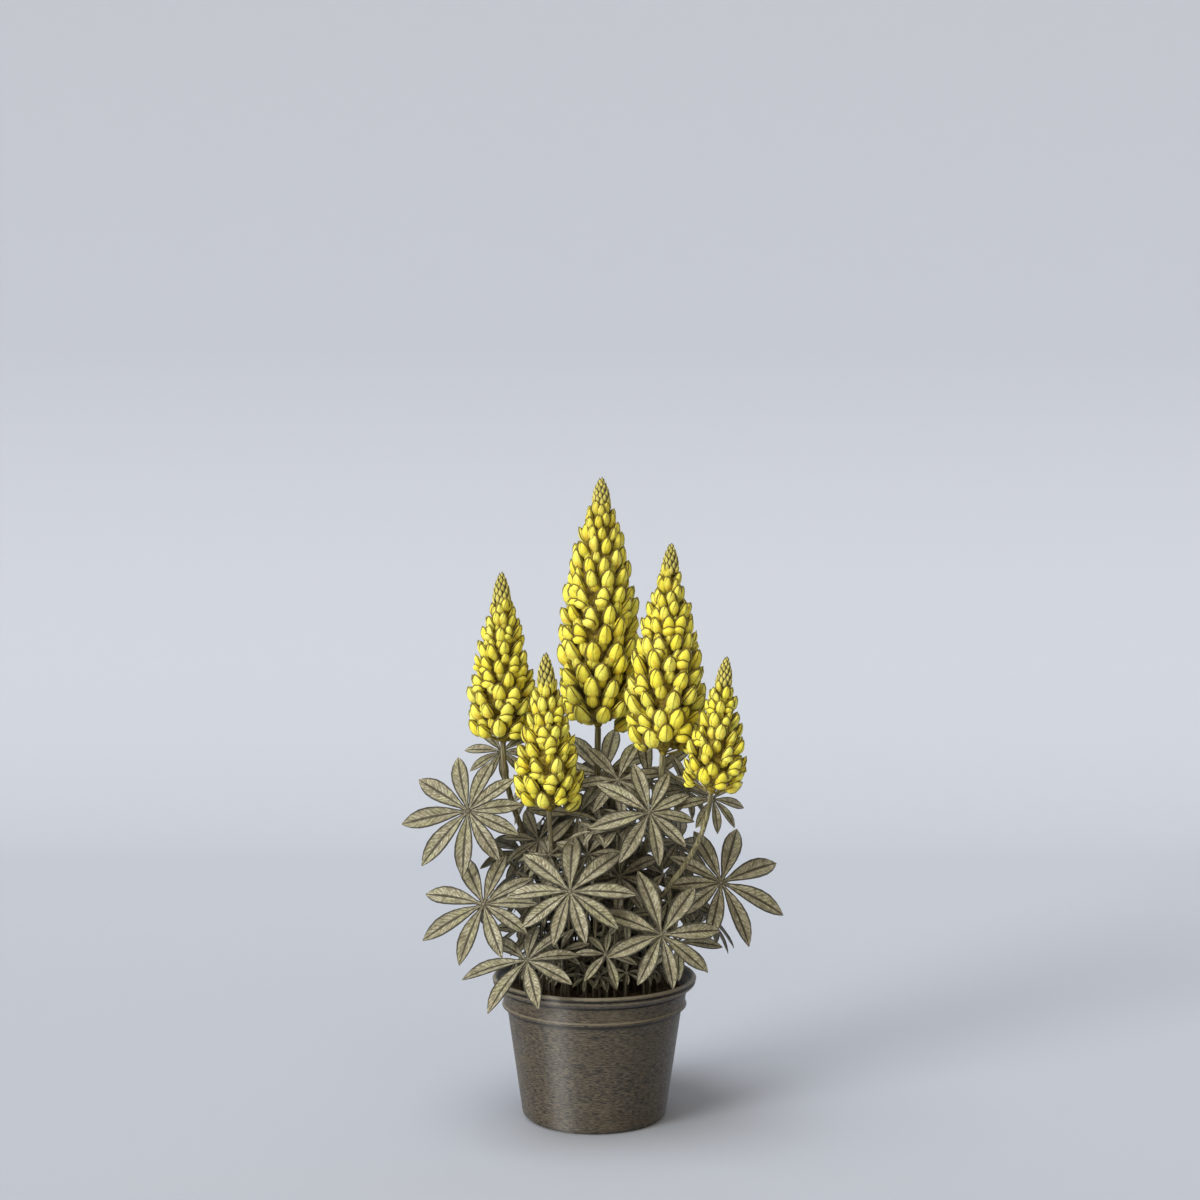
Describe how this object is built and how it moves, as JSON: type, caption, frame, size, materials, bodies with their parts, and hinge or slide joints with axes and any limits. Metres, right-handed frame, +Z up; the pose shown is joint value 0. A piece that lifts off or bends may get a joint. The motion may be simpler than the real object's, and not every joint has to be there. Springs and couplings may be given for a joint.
{
  "type": "potted lupin plant",
  "caption": "Flowering yellow lupin with upright flower spikes and palmate leaves, growing in a round dark plastic nursery pot.",
  "frame": {"origin": "centre of the underside of the pot", "axes": "+Z up along the pot's axis, -Y towards the front, where the two low front spikes are, +X to the right"},
  "size_m": [0.3708, 0.2745, 0.623],
  "materials": {
    "pot_plastic": "satin",
    "soil": "matte",
    "stem": "matte",
    "leaf": "matte",
    "petal": "matte",
    "bud": "matte"
  },
  "bodies": {
    "root": {"pot": "pot_plastic", "soil": "soil", "stem_centre": "stem", "florets_centre": "petal", "buds_centre": "bud", "stem_right": "stem", "florets_right": "petal", "buds_right": "bud", "stem_left": "stem", "florets_left": "petal", "buds_left": "bud", "stem_front_left": "stem", "florets_front_left": "petal", "buds_front_left": "bud", "stem_front_right": "stem", "florets_front_right": "petal", "buds_front_right": "bud", "leaf_left_high": "leaf", "leaf_left_mid": "leaf", "leaf_front": "leaf", "leaf_right_low": "leaf", "leaf_right_high": "leaf", "leaf_right_mid": "leaf", "leaf_rim_left": "leaf", "leaf_rim_front": "leaf", "leaf_inner_front": "leaf", "leaf_inner_right": "leaf", "leaf_inner_mid": "leaf", "leaf_inner_low": "leaf", "leaf_back_left": "leaf", "leaf_back": "leaf", "leaf_back_right": "leaf", "leaf_far_left": "leaf", "leaf_far_right": "leaf", "leaf_back_high": "leaf", "leaf_rim_back_right": "leaf", "leaf_rim_back_left": "leaf", "leaf_heart": "leaf", "leaf_low_right": "leaf", "leaf_upper_left": "leaf", "leaf_upper_right": "leaf", "leaf_heart_high": "leaf", "leaf_heart_right": "leaf", "leaf_low_left": "leaf"}
  },
  "joints": []
}
